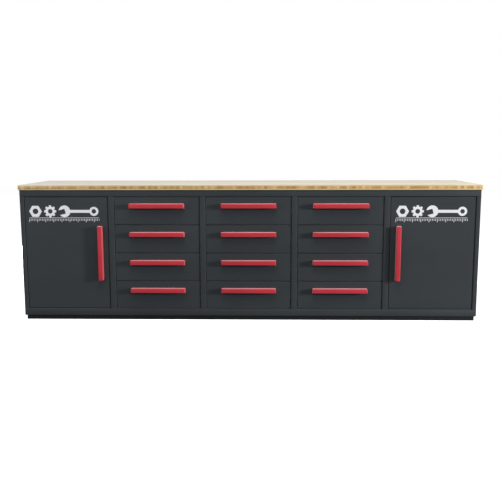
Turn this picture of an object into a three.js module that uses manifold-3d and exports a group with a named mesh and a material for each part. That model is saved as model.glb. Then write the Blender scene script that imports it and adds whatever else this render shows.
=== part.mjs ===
// Workshop bench: a long sheet-steel cabinet under a laminated wood worktop.
// Five bays side by side: a cupboard with a hinged door at each end, and three
// columns of four drawers between them. Millimetres, +Z up, +X to the right as
// seen from the front, the front faces -Y. The origin is on the floor, under
// the middle of the whole object, handles included.

import * as THREE from "three";
import { mergeVertices } from "three/addons/utils/BufferGeometryUtils.js";
import Module from "manifold-3d";

const wasm = await Module();
wasm.setup();

// ---------------------------------------------------------------- dimensions

const CABINET_W = 2800; // steel cabinet, side to side
const CABINET_D = 600; // frame face to back
const HEIGHT = 838; // floor to worktop surface
const SHEET = 1.5; // sheet thickness
const FIT = 0.3; // gap between pieces that touch

const TOP_T = 30; // worktop thickness, with the fitting gap under it
const TOP_OVERHANG = 6; // past the cabinet at the front and at both ends
const TOP_ARRIS = 2.5; // chamfer on the worktop's long edges

const PLINTH_H = 28;
const PLINTH_RECESS = 10; // behind the cabinet's faces, all round
const PLINTH_FLANGE = 40; // width of the flanges it stands on

const BASE_H = 43; // base pan: floor sheet on a deep skirt
const TOP_PAN_H = 40; // top pan: ceiling sheet inside a deep skirt
const PAN_FLANGE = 30; // turned-in flange round the open side of both pans

const BAY_PITCH = 560; // middle of one bay to the middle of the next
const POST_W = 36; // front web of a divider, between two bays
const SIDE_POST_W = 26; // front return of a side panel
const SIDE_RETURN = 14; // how far that return folds back inwards

const ROWS = 4; // drawers in a column
const INSET = 3; // doors and drawer fronts sit behind the frame face
const DRAWER_GAP = 2; // drawer front to post
const ROW_GAP = 3.2; // drawer front to drawer front
const FRONT_T = 18; // folded depth of a drawer front
const FRONT_LIP = 15; // turned-in lip on the back of a drawer front

const TRAY_W = 498;
const TRAY_D = 540;
const TRAY_H = 140;
const TRAY_LIFT = 10; // tray bottom above the bottom of its row

const RAIL_L = 500; // runner length
const RAIL_LIFT = 60.5; // runner bottom above the bottom of its row
const RAIL_H = 45; // fixed runner, riveted to the divider
const RAIL_REACH = 10.5; // how far it stands off the divider
const SLIDER_H = 38; // moving runner, riveted to the tray
const SLIDER_REACH = 9;
const RAIL_BITE = 0.75; // overlap that joins a runner to its sheet
const RAIL_SETBACK = 6; // runner front end behind the drawer front's back

const HANDLE_L = 336; // folded grip, open on one long side
const HANDLE_H = 28;
const HANDLE_D = 29;
const HANDLE_T = 2.5;
const HANDLE_R = 3; // rounding of its two outer long edges
const HANDLE_LIFT = 103.4; // grip bottom above the bottom of its row
const DOOR_HANDLE_X = 910; // middle of a door grip from the bench's middle

const DOOR_T = 20;
const DOOR_GAP = 3; // door edge to frame, all round
const DOOR_LIP = 25;
const DOOR_RIB_W = 60; // channel down the middle of the door's back
const DOOR_RIB_STOP = 40; // its open ends, short of the door's top and bottom
const PIVOT = 6; // pivot axis from the door's edge and from its face
const PIN_R = 3;
const PIN_HOLE_R = 3.3; // in the base pan and the top pan
const PIN_BORE_R = 3.08; // in the door
const PIN_LENGTH = 22;
const PIN_INTO_DOOR = 10;
const COLLAR_R = 6;

const CATCH = new THREE.Vector3(13, 20, 46);
const CATCH_DROP = 90; // top of the catch below the top of the opening

const SHELF_Z = 425; // top of the shelf above the floor
const SHELF_H = 25;
const SHELF_SETBACK = 35; // shelf front behind the frame face
const SHELF_D = 545;
const SHELF_PLAY = 2; // shelf end to cupboard wall
const LEDGE = 20; // both legs of the angle that carries a shelf
const LEDGE_L = 480;
const LEDGE_SETBACK = 60;

// ------------------------------------------------------------ derived places

const REACH = HANDLE_D + FIT - INSET; // handles stand this far past the frame
const FRONT_Y = REACH - (CABINET_D + REACH) / 2; // plane of the frame face
const BACK_Y = FRONT_Y + CABINET_D;
const HALF_W = CABINET_W / 2;

const OPEN_Z0 = PLINTH_H + BASE_H; // bottom of every bay
const OPEN_Z1 = HEIGHT - TOP_T - TOP_PAN_H; // top of every bay
const OPEN_H = OPEN_Z1 - OPEN_Z0;
const ROW_PITCH = OPEN_H / ROWS;

const DIVIDER_X = [-1.5, -0.5, 0.5, 1.5].map((n) => n * BAY_PITCH);
const DRAWER_BAY_W = BAY_PITCH - POST_W;
const CUPBOARD_X = DIVIDER_X[3] + POST_W / 2; // cupboard side of a divider
const DOOR_BAY_W = HALF_W - SIDE_POST_W - CUPBOARD_X;
const BACK_PANEL_Y = BACK_Y - SHEET; // inner face of the back panel

const COLUMNS = { left: -BAY_PITCH, middle: 0, right: BAY_PITCH };
const SIDES = { left: -1, right: 1 };

// ----------------------------------------------------------------- materials

const painted = (color, roughness = 0.55, metalness = 0.2) =>
  new THREE.MeshStandardMaterial({ color, roughness, metalness });

const ANTHRACITE = painted(0x34383b);
const BLACK = painted(0x1d1f1f, 0.7, 0.1);
const RED = painted(0xbc3842, 0.4, 0.1);
const WOOD = painted(0xcfae78, 0.6, 0);
const STEEL = painted(0xa9acad, 0.3, 0.9);
const PLASTIC = painted(0x202020, 0.5, 0);

// ------------------------------------------------------- geometry and solids

// A box between two corners.
function box(x0, x1, y0, y1, z0, z1) {
  return new THREE.BoxGeometry(x1 - x0, y1 - y0, z1 - z0).translate(
    (x0 + x1) / 2,
    (y0 + y1) / 2,
    (z0 + z1) / 2,
  );
}

// A round bar standing on z0, about the Z axis.
function bar(radius, z0, z1, sides = 32) {
  return new THREE.CylinderGeometry(radius, radius, z1 - z0, sides)
    .rotateX(Math.PI / 2)
    .translate(0, 0, (z0 + z1) / 2);
}

// A flat outline given as [x, y] corners, raised from z0 to z1.
function prism(corners, z0, z1) {
  const outline = new THREE.Shape(corners.map(([x, y]) => new THREE.Vector2(x, y)));
  const raised = { depth: z1 - z0, bevelEnabled: false };
  return new THREE.ExtrudeGeometry(outline, raised).translate(0, 0, z0);
}

// A geometry as a manifold-3d solid.
function solid(geometry) {
  const bare = geometry.clone();
  bare.deleteAttribute("normal");
  bare.deleteAttribute("uv");
  const merged = mergeVertices(bare, 1e-4);
  return new wasm.Manifold(
    new wasm.Mesh({
      numProp: 3,
      vertProperties: new Float32Array(merged.attributes.position.array),
      triVerts: new Uint32Array(merged.index.array),
    }),
  );
}

// The first geometry joined with each of added and cut by each of removed.
function shaped(first, added = [], removed = []) {
  let made = solid(first);
  for (const g of added) made = made.add(solid(g));
  for (const g of removed) made = made.subtract(solid(g));
  const result = made.getMesh();
  const position = new THREE.BufferAttribute(result.vertProperties, 3);
  const geometry = new THREE.BufferGeometry().setAttribute("position", position);
  geometry.setIndex(new THREE.BufferAttribute(result.triVerts, 1));
  return geometry;
}

function piece(name, geometry, material) {
  const mesh = new THREE.Mesh(geometry, material);
  mesh.name = name;
  return mesh;
}

// The same piece for the bench's other end.
function mirrored(geometry) {
  const other = geometry.index ? geometry.toNonIndexed() : geometry.clone();
  other.scale(-1, 1, 1);
  const { array } = other.attributes.position;
  for (let i = 0; i < array.length; i += 9)
    for (let k = 0; k < 3; k += 1)
      [array[i + 3 + k], array[i + 6 + k]] = [array[i + 6 + k], array[i + 3 + k]];
  return other;
}

// ------------------------------------------------------------------ carcass

// Laminated board with its four long top and bottom edges chamfered.
function worktop() {
  const y0 = FRONT_Y - TOP_OVERHANG;
  const z0 = HEIGHT - TOP_T + FIT;
  const half = HALF_W + TOP_OVERHANG;
  const a = TOP_ARRIS;
  const section = [
    [y0, z0 + a],
    [y0 + a, z0],
    [BACK_Y - a, z0],
    [BACK_Y, z0 + a],
    [BACK_Y, HEIGHT - a],
    [BACK_Y - a, HEIGHT],
    [y0 + a, HEIGHT],
    [y0, HEIGHT - a],
  ];
  // The section is drawn in Y and Z and raised along X.
  const board = prism(section, -half, half).rotateX(Math.PI / 2).rotateZ(Math.PI / 2);
  return piece("worktop", board, WOOD);
}

// A shallow folded pan over the whole footprint: a full sheet on one side and
// a turned-in flange round the open side. holes are cut through it.
function pan(z0, z1, sheetOnTop, holes) {
  const inner = HALF_W - SHEET;
  const mouth = HALF_W - PAN_FLANGE;
  const shell = box(-HALF_W, HALF_W, FRONT_Y, BACK_Y, z0, z1);
  const hollow = box(-inner, inner, FRONT_Y + SHEET, BACK_Y - SHEET, z0 + SHEET, z1 - SHEET);
  const [m0, m1] = sheetOnTop ? [z0 - 1, z0 + SHEET + 1] : [z1 - SHEET - 1, z1 + 1];
  const opening = box(-mouth, mouth, FRONT_Y + PAN_FLANGE, BACK_Y - PAN_FLANGE, m0, m1);
  return shaped(shell, [], [hollow, opening, ...holes]);
}

// Where the doors turn: distance from the middle of the bench, and depth.
const PIVOT_X = HALF_W - SIDE_POST_W - DOOR_GAP - PIVOT;
const PIVOT_Y = FRONT_Y + INSET + PIVOT;

function pinHoles(z0, z1) {
  return Object.values(SIDES).map((side) =>
    bar(PIN_HOLE_R, z0, z1).translate(side * PIVOT_X, PIVOT_Y, 0),
  );
}

// Open ring of C section that the base pan stands on.
function plinth() {
  const x = HALF_W - PLINTH_RECESS;
  const [y0, y1] = [FRONT_Y + PLINTH_RECESS, BACK_Y - PLINTH_RECESS];
  const [top, f, s] = [PLINTH_H - FIT, PLINTH_FLANGE, SHEET];
  const ring = box(-x, x, y0, y1, 0, top);
  const channel = box(s - x, x - s, y0 + s, y1 - s, s, top - s);
  const inside = box(f - x, x - f, y0 + f, y1 - f, -1, top + 1);
  return piece("plinth", shaped(ring, [], [channel, inside]), BLACK);
}

// Angle that a shelf rests on, reaching towards +X from a wall at x.
function ledge(x) {
  const y0 = FRONT_Y + LEDGE_SETBACK;
  const y1 = y0 + LEDGE_L;
  const top = SHELF_Z - SHELF_H - FIT;
  return [
    box(x - RAIL_BITE, x + LEDGE, y0, y1, top - SHEET, top),
    box(x - RAIL_BITE, x + SHEET, y0, y1, top - LEDGE, top),
  ];
}

// Left side panel: outer skin, and the front return that shows as the end post.
// The right one is its mirror image.
function sidePanelGeometry() {
  const [x0, s] = [-HALF_W, SHEET];
  const outline = [
    [x0, FRONT_Y],
    [x0 + SIDE_POST_W, FRONT_Y],
    [x0 + SIDE_POST_W, FRONT_Y + SIDE_RETURN],
    [x0 + SIDE_POST_W - s, FRONT_Y + SIDE_RETURN],
    [x0 + SIDE_POST_W - s, FRONT_Y + s],
    [x0 + s, FRONT_Y + s],
    [x0 + s, BACK_PANEL_Y - FIT],
    [x0, BACK_PANEL_Y - FIT],
  ];
  return shaped(prism(outline, OPEN_Z0 + FIT, OPEN_Z1 - FIT), ledge(x0 + s));
}

// Flat sheet that closes the back, seam-welded to the side panels' rear edges.
function backPanel() {
  const x = HALF_W;
  const y0 = BACK_PANEL_Y;
  const sheet = box(-x, x, y0, y0 + SHEET, OPEN_Z0 + FIT, OPEN_Z1 - FIT);
  return piece("back_panel", sheet, ANTHRACITE);
}

// Fixed runner on the +X side of a divider: a channel open away from it.
function runner(z) {
  const x0 = POST_W / 2;
  const y0 = FRONT_Y + INSET + FRONT_T + RAIL_SETBACK;
  const y1 = y0 + RAIL_L;
  const top = z + RAIL_H;
  return [
    box(x0 - RAIL_BITE, x0 + SHEET, y0, y1, z, top),
    box(x0, x0 + RAIL_REACH, y0, y1, top - SHEET, top),
    box(x0, x0 + RAIL_REACH, y0, y1, z, z + SHEET),
  ];
}

const ROW_Z = Array.from({ length: ROWS }, (_, row) => OPEN_Z1 - (row + 1) * ROW_PITCH);

// Divider: a sheet folded into a U, whose front web shows as the post. Its
// runners face the drawer bays beside it, and a ledge faces a cupboard.
function divider(number) {
  const x = DIVIDER_X[number - 1];
  const half = POST_W / 2;
  const y1 = BACK_PANEL_Y - FIT;
  const outline = [
    [-half, FRONT_Y],
    [half, FRONT_Y],
    [half, y1],
    [half - SHEET, y1],
    [half - SHEET, FRONT_Y + SHEET],
    [SHEET - half, FRONT_Y + SHEET],
    [SHEET - half, y1],
    [-half, y1],
  ];
  const runners = ROW_Z.flatMap((z) => runner(z + RAIL_LIFT));
  const right = number < DIVIDER_X.length ? runners : ledge(half);
  const left = (number > 1 ? runners : ledge(half)).map(mirrored);
  const folded = prism(outline, OPEN_Z0 + FIT, OPEN_Z1 - FIT);
  const mesh = piece(`divider_${number}`, shaped(folded, [...right, ...left]), ANTHRACITE);
  mesh.position.x = x;
  return mesh;
}

// Shelf with its four edges folded down.
function shelf(name, side) {
  const width = HALF_W - SHEET - CUPBOARD_X - 2 * SHELF_PLAY;
  const board = box(-width / 2, width / 2, 0, SHELF_D, -SHELF_H, 0);
  const [w, d] = [width / 2 - SHEET, SHELF_D - SHEET];
  const under = box(-w, w, SHEET, d, -SHELF_H - 1, -SHEET);
  const mesh = piece(`shelf_${name}`, shaped(board, [], [under]), ANTHRACITE);
  const middle = (HALF_W - SHEET + CUPBOARD_X) / 2;
  mesh.position.set(side * middle, FRONT_Y + SHELF_SETBACK, SHELF_Z);
  return mesh;
}

// -------------------------------------------------------------------- grips

// Folded grip lying along X: it stands out from y = 0 towards -Y, its closed
// side is up, and fingers reach in from below. Its ends are closed.
function gripGeometry() {
  const outline = new THREE.Shape();
  const [d, h, r] = [HANDLE_D, HANDLE_H, HANDLE_R];
  outline.moveTo(0, 0);
  outline.lineTo(0, h);
  outline.lineTo(r - d, h);
  outline.absarc(r - d, h - r, r, Math.PI / 2, Math.PI, false);
  outline.lineTo(-d, r);
  outline.absarc(r - d, r, r, Math.PI, 1.5 * Math.PI, false);
  outline.closePath();
  const raised = { depth: HANDLE_L, bevelEnabled: false, curveSegments: 5 };
  const block = new THREE.ExtrudeGeometry(outline, raised)
    .translate(0, 0, -HANDLE_L / 2)
    .rotateX(Math.PI / 2)
    .rotateZ(Math.PI / 2);
  const x = HANDLE_L / 2 - HANDLE_T;
  const hollow = box(-x, x, HANDLE_T - d, -HANDLE_T, -1, h - HANDLE_T);
  return shaped(block, [], [hollow]);
}

// ------------------------------------------------------------------ drawers

// Folded front with a lip round its open back.
function drawerFront() {
  const w = DRAWER_BAY_W / 2 - DRAWER_GAP;
  const [z0, z1] = [ROW_GAP / 2, ROW_PITCH - ROW_GAP / 2];
  const [s, l, t] = [SHEET, FRONT_LIP, FRONT_T];
  const skin = box(-w, w, 0, t, z0, z1);
  const hollow = box(s - w, w - s, s, t - s, z0 + s, z1 - s);
  const opening = box(l - w, w - l, t - s - 1, t + 1, z0 + l, z1 - l);
  return shaped(skin, [], [hollow, opening]);
}

// Open tray with a moving runner along each side.
function drawerTray() {
  const [w, s] = [TRAY_W / 2, SHEET];
  const y0 = FRONT_T + FIT;
  const y1 = y0 + TRAY_D;
  const z0 = TRAY_LIFT;
  const z1 = z0 + TRAY_H;
  const block = box(-w, w, y0, y1, z0, z1);
  const inside = box(s - w, w - s, y0 + s, y1 - s, z0 + s, z1 + 1);
  const r0 = RAIL_LIFT + (RAIL_H - SLIDER_H) / 2;
  const r1 = r0 + SLIDER_H;
  const [a, b] = [FRONT_T + RAIL_SETBACK, FRONT_T + RAIL_SETBACK + RAIL_L];
  const slider = [
    box(w - RAIL_BITE, w + s, a, b, r0, r1),
    box(w, w + SLIDER_REACH, a, b, r1 - s, r1),
    box(w, w + SLIDER_REACH, a, b, r0, r0 + s),
  ];
  return shaped(block, [...slider, ...slider.map(mirrored)], [inside]);
}

// One drawer in its own group, whose origin is on the face of the drawer front
// at the bottom of its row.
function drawer(column, row) {
  const name = `drawer_${column}_${row + 1}`;
  const group = new THREE.Group();
  group.position.set(COLUMNS[column], FRONT_Y + INSET, ROW_Z[row]);
  const grip = piece(`${name}_handle`, gripGeometry(), RED);
  grip.position.set(0, -FIT, HANDLE_LIFT);
  group.add(
    piece(`${name}_front`, drawerFront(), ANTHRACITE),
    piece(`${name}_tray`, drawerTray(), ANTHRACITE),
    grip,
  );
  return group;
}

// -------------------------------------------------------------------- doors

// Left door about its pivot axis: a folded pan with a stiffening channel down
// the back and a bore for each pivot pin. The right door is its mirror image.
function doorGeometry() {
  const [s, l] = [SHEET, DOOR_LIP];
  const [x0, y0] = [-PIVOT, -PIVOT];
  const [x1, y1] = [x0 + DOOR_BAY_W - 2 * DOOR_GAP, y0 + DOOR_T];
  const [z0, z1] = [OPEN_Z0 + DOOR_GAP, OPEN_Z1 - DOOR_GAP];
  const skin = box(x0, x1, y0, y1, z0, z1);
  const hollow = box(x0 + s, x1 - s, y0 + s, y1 - s, z0 + s, z1 - s);
  const opening = box(x0 + l, x1 - l, y1 - s - 1, y1 + 1, z0 + l, z1 - l);
  const middle = (x0 + x1) / 2;
  const [r0, r1] = [middle - DOOR_RIB_W / 2, middle + DOOR_RIB_W / 2];
  const [c0, c1] = [z0 + DOOR_RIB_STOP, z1 - DOOR_RIB_STOP];
  const channel = [
    box(r0, r0 + s, y0 + s / 2, y1, c0, c1),
    box(r1 - s, r1, y0 + s / 2, y1, c0, c1),
    box(r0, r1, y1 - s, y1, c0, c1),
  ];
  const pan = shaped(skin, [], [hollow, opening]);
  return shaped(pan, channel, [bar(PIN_BORE_R, z0 - 1, z1 + 1)]);
}

function door(name, side) {
  const group = new THREE.Group();
  group.position.set(side * PIVOT_X, PIVOT_Y, 0);
  const left = doorGeometry();
  const panel = piece(`door_${name}`, side < 0 ? left : mirrored(left), ANTHRACITE);
  // The grip is turned upright, with its open side towards the hinge.
  const grip = piece(`door_${name}_handle`, gripGeometry(), RED);
  grip.rotation.y = -side * (Math.PI / 2);
  const x = side * (DOOR_HANDLE_X + HANDLE_H / 2 - PIVOT_X);
  grip.position.set(x, -PIVOT - FIT, (OPEN_Z0 + OPEN_Z1) / 2);
  group.add(panel, grip);
  return group;
}

// Pivot pin with a collar that keeps the door clear of the frame. It stands on
// the base pan; the upper one is the same pin upside down.
function pin(name, side, upper) {
  const collar = bar(COLLAR_R, FIT, DOOR_GAP - FIT);
  const shank = bar(PIN_R, DOOR_GAP + PIN_INTO_DOOR - PIN_LENGTH, DOOR_GAP + PIN_INTO_DOOR);
  const mesh = piece(name, shaped(collar, [shank]), STEEL);
  mesh.position.set(side * PIVOT_X, PIVOT_Y, upper ? OPEN_Z1 : OPEN_Z0);
  if (upper) mesh.rotation.x = Math.PI;
  return mesh;
}

// Magnetic catch on the cupboard side of the divider, behind the closed door.
function doorCatch(name, side) {
  const block = new THREE.BoxGeometry(CATCH.x, CATCH.y, CATCH.z);
  const mesh = piece(`door_${name}_catch`, block, PLASTIC);
  mesh.position.set(
    side * (CUPBOARD_X + FIT + CATCH.x / 2),
    FRONT_Y + INSET + DOOR_T + FIT + CATCH.y / 2,
    OPEN_Z1 - CATCH_DROP - CATCH.z / 2,
  );
  return mesh;
}

// ---------------------------------------------------------------- assembly

const bench = new THREE.Group();

const topPan = pan(OPEN_Z1, HEIGHT - TOP_T, false, pinHoles(OPEN_Z1 - 1, OPEN_Z1 + 3));
const basePan = pan(PLINTH_H, OPEN_Z0, true, pinHoles(OPEN_Z0 - 3, OPEN_Z0 + 1));

bench.add(
  worktop(),
  piece("top_pan", topPan, ANTHRACITE),
  piece("base_pan", basePan, ANTHRACITE),
  plinth(),
  backPanel(),
);

const sidePanel = sidePanelGeometry();
for (const [name, side] of Object.entries(SIDES)) {
  bench.add(
    piece(`side_panel_${name}`, side < 0 ? sidePanel : mirrored(sidePanel), ANTHRACITE),
    shelf(name, side),
    door(name, side),
    pin(`door_${name}_pin_lower`, side, false),
    pin(`door_${name}_pin_upper`, side, true),
    doorCatch(name, side),
  );
}

for (let number = 1; number <= DIVIDER_X.length; number += 1) bench.add(divider(number));

for (const column of Object.keys(COLUMNS))
  for (let row = 0; row < ROWS; row += 1) bench.add(drawer(column, row));

export default bench;
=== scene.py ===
"""Workbench with drawers: the visible pieces, materials, light and camera round the CAD frame.

Metres, in the row frame: +X to the right as seen from the front, +Y to the back, +Z up.
"""

import math

import bmesh
import bpy
from mathutils import Matrix, Vector


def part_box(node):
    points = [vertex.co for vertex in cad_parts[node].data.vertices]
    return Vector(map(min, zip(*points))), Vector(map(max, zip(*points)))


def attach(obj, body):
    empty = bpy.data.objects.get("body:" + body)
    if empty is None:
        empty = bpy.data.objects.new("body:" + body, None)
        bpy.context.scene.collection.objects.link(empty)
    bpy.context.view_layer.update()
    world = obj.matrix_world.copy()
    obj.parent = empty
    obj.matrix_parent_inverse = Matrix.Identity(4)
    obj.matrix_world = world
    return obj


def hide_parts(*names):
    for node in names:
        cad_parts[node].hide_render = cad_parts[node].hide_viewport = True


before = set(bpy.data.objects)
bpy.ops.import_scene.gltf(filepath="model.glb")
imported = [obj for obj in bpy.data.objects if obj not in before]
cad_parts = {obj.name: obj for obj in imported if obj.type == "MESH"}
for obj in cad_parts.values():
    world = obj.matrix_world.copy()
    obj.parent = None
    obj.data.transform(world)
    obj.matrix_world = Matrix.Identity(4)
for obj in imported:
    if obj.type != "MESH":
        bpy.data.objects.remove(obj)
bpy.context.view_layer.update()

MM = 0.001
SIDES = {"left": -1, "right": 1}
COLUMNS = ("left", "middle", "right")
ROWS = (1, 2, 3, 4)
DIVIDERS = (1, 2, 3, 4)
PIN_ENDS = ("lower", "upper")
ARC_STEPS = 4  # straight pieces in the arc of a rounded corner

# ---------------------------------------------------------------- dimensions

FIT = 0.3 * MM  # gap between pieces that touch
SEAM = 0.27 * MM  # how far the welded edges round the back sheet reach across that gap
SHEET = 1.5 * MM  # thickness of the cabinet's sheet
FOLD = 1.7 * MM  # outer radius of its folds
CORNER = 1.2 * MM  # radius of a welded and ground corner
REVEAL = 0.4 * MM  # how far the edges of fronts and doors stand inside their outline

BOARD_ARRIS = 1.2 * MM  # rounding of the worktop's edges
FACE_PLY = 6.5 * MM  # each of the worktop's two face layers
FACE_STRIP = (21 * MM, 620 * MM)  # width and length of the strips in its face layers
CORE_STRIP = (19 * MM, 800 * MM)
GLUE_HALF = 0.4 * MM  # half the width of its glue lines

PAN_FLANGE = 30 * MM
POST_W = 36 * MM
PLINTH_FLANGE = 40 * MM
POST_RETURN = 14 * MM  # front return of a side panel, folded back
SIDE_POST_W = 26 * MM
DRAWER_LIP = 15 * MM
DOOR_LIP = 25 * MM
DOOR_RIB_W = 60 * MM
DOOR_RIB_FLANGE = 10 * MM
DOOR_RIB_STOP = 40 * MM  # from the ends of the door
DOOR_RIB_CLEAR = 0.05 * MM  # behind the door's sheet
PIN_BORE_R = 3.3 * MM
PIN_BORE_REACH = 20 * MM  # each way from the pin's middle
TRAY_HEM = 7 * MM

GRIP_T = 2.5 * MM  # sheet of a handle
GRIP_R = 3.6 * MM  # rounding of its outer edges
GRIP_INNER_R = 1.4 * MM
GRIP_SCREW_X = 128 * MM  # its two screws, from its middle
GRIP_SCREW_Z = 13 * MM  # and from its open edge

RUNNER_T = 1.2 * MM
RUNNER_FOLD = 2.0 * MM
RUNNER_LIP = 3.2 * MM
RUNNER_L = 500 * MM
RUNNER_SETBACK = 6 * MM  # behind the back of the drawer front
RUNNER_LIFT = 50.5 * MM  # above the underside of the tray
RUNNER_H = 45 * MM
RUNNER_REACH = 10.5 * MM
SLIDER_H = 38 * MM
SLIDER_REACH = 9 * MM

LEDGE = 20 * MM  # both legs of the angle that carries a shelf
LEDGE_L = 480 * MM
LEDGE_SETBACK = 60 * MM

BACK_RIB_W = 22 * MM  # flat crest of the ribs pressed into the back panel
BACK_RIB_H = 4 * MM
BACK_RIB_SLOPE = 6 * MM
BACK_RIB_PITCH = 280 * MM

MAT_T = 2.5 * MM
MAT_RIB = 5.0 * MM
MAT_INSET = 2 * MM  # from the tray's walls
MAT_CLEAR = 0.1 * MM  # above the tray's floor

SCREW_R = 4.2 * MM
SLIDER_SCREW_R = 3.4 * MM
RIVET_R = 3.0 * MM
SLIDER_SCREWS = (0.08, 0.5, 0.92)  # along the runner, as shares of its length
RUNNER_RIVETS = (0.06, 0.35, 0.65, 0.94)

POLE_T = 1.6 * MM  # pole plates of a door catch
POLE_DEEP = 3.0 * MM
POLE_END = 6.0 * MM  # from the ends of its case
POLE_SHARE = 0.32  # from the sides of its case, as a share of its width
POLE_PROUD = 1.0 * MM  # in front of its case

SMOOTH = 32.0  # degrees; edges that turn less are shaded as curved
RIB_SMOOTH = 50.0  # the same for the ribs of the back sheet

CAMERA_AT = (0.119, -4.494, 1.060)
CAMERA_YAW = -1.50  # degrees, to the left
CAMERA_PITCH = 8.37  # degrees, down
CAMERA_ROLL = -0.14
CAMERA_LENS = 50.0
CAMERA_FILM = 36.0

FLOOR_SIZE = 14.0  # half its width
FLOOR_GLOW = 0.7
SKY_ABOVE = 0.22  # strength of the backdrop as light from above
SKY_MIRRORED = 1.0  # the same where it is mirrored
SKY_BELOW = 0.14
SKY_TURN = (-0.06, 0.12)  # heights between which it goes from below to above

# Places read from the CAD.
FRONT_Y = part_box("base_pan")[0].y
BACK_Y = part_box("base_pan")[1].y
BAY_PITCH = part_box("drawer_right_1_front")[0].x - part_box("drawer_middle_1_front")[0].x
BAY_HALF = (BAY_PITCH - POST_W) / 2
DIVIDER_X = {n: (n - 2.5) * BAY_PITCH for n in DIVIDERS}
CUPBOARD_X = DIVIDER_X[4] + POST_W / 2

# Name: place, point it faces, width, power.
LIGHTS = {
    "key": ((8.6, FRONT_Y - 2.9, 1.75), (0.0, FRONT_Y, 0.45), 1.3, 1040.0),
    "fill": ((-3.4, FRONT_Y - 2.2, 1.5), (-0.6, FRONT_Y, 0.45), 2.0, 32.0),
    "rear": ((-2.6, BACK_Y + 2.8, 0.45), (0.0, BACK_Y, 0.40), 0.5, 70.0),
    "overhead": ((0.0, FRONT_Y - 2.0, 6.0), (0.0, 0.0, 0.5), 4.5, 280.0),
}


# ----------------------------------------------------------------- materials

class Nodes:
    """A material being built: adds shader nodes and links them."""

    def __init__(self, name, **sockets):
        self.material = bpy.data.materials.new(name)
        self.material.use_nodes = True
        self.tree = self.material.node_tree
        self.shader = self.tree.nodes["Principled BSDF"]
        for socket, value in sockets.items():
            self.shader.inputs[socket.replace("_", " ")].default_value = value
        self.place = self.add("ShaderNodeTexCoord").outputs["Object"]

    def add(self, kind, inputs=None, **settings):
        node = self.tree.nodes.new(kind)
        for key, value in settings.items():
            setattr(node, key, value)
        for key, value in (inputs or {}).items():
            self.put(node.inputs[key], value)
        return node

    def put(self, socket, value):
        """Links an output to the socket, or sets the socket to a plain value."""
        if isinstance(value, bpy.types.NodeSocket):
            self.tree.links.new(value, socket)
        else:
            socket.default_value = value

    def set(self, **sockets):
        for socket, value in sockets.items():
            self.put(self.shader.inputs[socket.replace("_", " ")], value)

    def stretched(self, x, y, z):
        """Coordinates scaled per axis, in repeats per metre."""
        scale = self.add("ShaderNodeMapping", {"Vector": self.place, "Scale": (x, y, z)})
        return scale.outputs["Vector"]

    def noise(self, vector, scale=1.0, detail=3.0, roughness=0.5):
        inputs = {"Vector": vector, "Scale": scale, "Detail": detail, "Roughness": roughness}
        return self.add("ShaderNodeTexNoise", inputs).outputs["Fac"]

    def ramp(self, value, stops, stepped=False):
        """A colour ramp through (position, grey or colour) stops."""
        node = self.add("ShaderNodeValToRGB", {"Fac": value})
        node.color_ramp.interpolation = "CONSTANT" if stepped else "LINEAR"
        elements = node.color_ramp.elements
        while len(elements) < len(stops):
            elements.new(1.0)
        for element, (position, colour) in zip(elements, stops):
            element.position = position
            grey = isinstance(colour, float)
            element.color = (colour,) * 3 + (1.0,) if grey else (*colour, 1.0)
        return node.outputs["Color"]

    def math(self, operation, a, b=0.0, c=0.0):
        node = self.add("ShaderNodeMath", operation=operation)
        for socket, value in zip(node.inputs, (a, b, c)):
            self.put(socket, value)
        return node.outputs["Value"]

    def mix(self, share, a, b, blend="MIX"):
        node = self.add("ShaderNodeMix", data_type="RGBA", blend_type=blend)
        self.put(node.inputs["Factor"], share)
        for socket, value in ((node.inputs[6], a), (node.inputs[7], b)):
            self.put(socket, value)
        return node.outputs[2]

    def bump(self, height, strength, distance, under=None):
        inputs = {"Height": height, "Strength": strength, "Distance": distance}
        if under is not None:
            inputs["Normal"] = under
        return self.add("ShaderNodeBump", inputs).outputs["Normal"]

    def axis(self, name):
        split = self.add("ShaderNodeSeparateXYZ", {"Vector": self.place})
        return split.outputs[name]


def rgb(red, green, blue):
    """A display colour, 0 to 255, as the linear colour that shaders take."""
    def linear(v):
        v /= 255
        return v / 12.92 if v <= 0.04045 else ((v + 0.055) / 1.055) ** 2.4
    return (linear(red), linear(green), linear(blue))


HONEY = rgb(212, 182, 124)
UMBER = rgb(120, 80, 40)


def powder_coat(name, colour, roughness, specular, texture=1.0, bloom=0.06):
    """Baked powder coat: fine pebbled skin that pales at a glancing angle (bloom), slow tone drift,
    patches rubbed a little smoother. roughness is its (lowest, highest)."""
    m = Nodes(name, IOR=1.45, Sheen_Weight=bloom, Sheen_Roughness=0.35, Specular_IOR_Level=specular)
    drift = m.noise(m.stretched(2.1, 2.1, 3.3), 1.0, 2.0)
    dark = tuple(0.90 * c for c in colour)
    light = tuple(1.10 * c for c in colour)
    base = m.ramp(drift, [(0.30, dark), (0.70, light)])
    grain = m.noise(m.place, 1400.0, 2.0)
    pebble = m.noise(m.place, 420.0, 2.0, 0.6)
    speck = m.ramp(grain, [(0.32, 0.82), (0.62, 1.0)])
    m.set(Base_Color=m.mix(0.5, base, speck, "MULTIPLY"))
    handled = m.noise(m.stretched(9.0, 9.0, 14.0), 1.0, 4.0, 0.6)
    low, high = roughness
    m.set(Roughness=m.math("MULTIPLY_ADD", handled, high - low, low))
    skin = m.bump(pebble, 0.10 * texture, 0.0006)
    m.set(Normal=m.bump(grain, 0.06 * texture, 0.0003, skin))
    return m.material


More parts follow.
